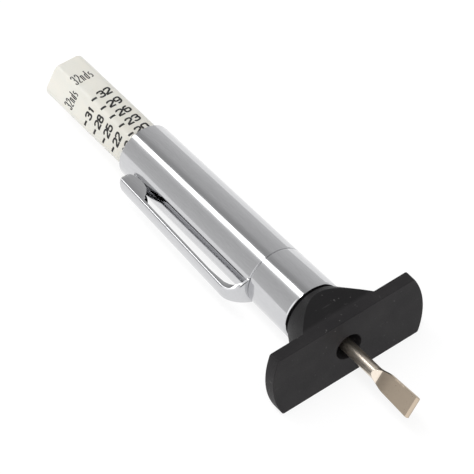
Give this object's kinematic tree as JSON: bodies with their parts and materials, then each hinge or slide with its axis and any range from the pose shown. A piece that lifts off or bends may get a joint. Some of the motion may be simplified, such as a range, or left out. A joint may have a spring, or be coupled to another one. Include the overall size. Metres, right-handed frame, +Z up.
{
  "type": "tire tread depth gauge",
  "caption": "Pen-shaped sliding depth gauge: a probe and numbered scale bar slide through a chromed barrel with a pocket clip and a wide flat foot.",
  "frame": {"origin": "centre of the foot's front measuring face, on the barrel's axis", "axes": "+X along the barrel's axis from the scale end towards the probe's tip, +Y along the foot's long direction, +Z up, with the gauge lying on the lower long flat of its foot"},
  "size_m": [0.0854, 0.0268, 0.0114],
  "materials": {
    "chrome_plate": "bright chrome plating on tube",
    "foot_plastic": "black moulded plastic with a fine satin grain",
    "bar_plastic": "ivory moulded plastic with black print",
    "probe_steel": "nickel-plated steel",
    "brass": "turned brass",
    "rubber": "nitrile rubber"
  },
  "bodies": {
    "barrel": {"barrel_tube": "chrome_plate", "lower_sleeve": "chrome_plate", "clip_band": "chrome_plate", "joining_ferrule": "brass", "ring_retainer": "brass", "foot": "foot_plastic", "guide_bush": "brass"},
    "grip": {"grip_ring": "rubber"},
    "probe": {"scale_bar": "bar_plastic", "rod_socket": "brass", "probe_rod": "probe_steel"},
    "clip": {"clip_arm": "chrome_plate"}
  },
  "joints": [
    {"name": "scale_spin", "type": "hinge", "parent": "barrel", "child": "grip", "pos_m": [-0.01925, 0, 0], "axis": [1, 0, 0], "continuous": true},
    {"name": "probe_slide", "type": "slide", "parent": "grip", "child": "probe", "axis": [1, 0, 0], "range_m": [-0.015, 0.01035]},
    {"name": "clip_flex", "type": "hinge", "parent": "barrel", "child": "clip", "pos_m": [-0.0179, -0.005, 0], "axis": [0, 0, 1], "range_deg": [0, 8], "stiffness_Nm_per_rad": 0.4}
  ]
}
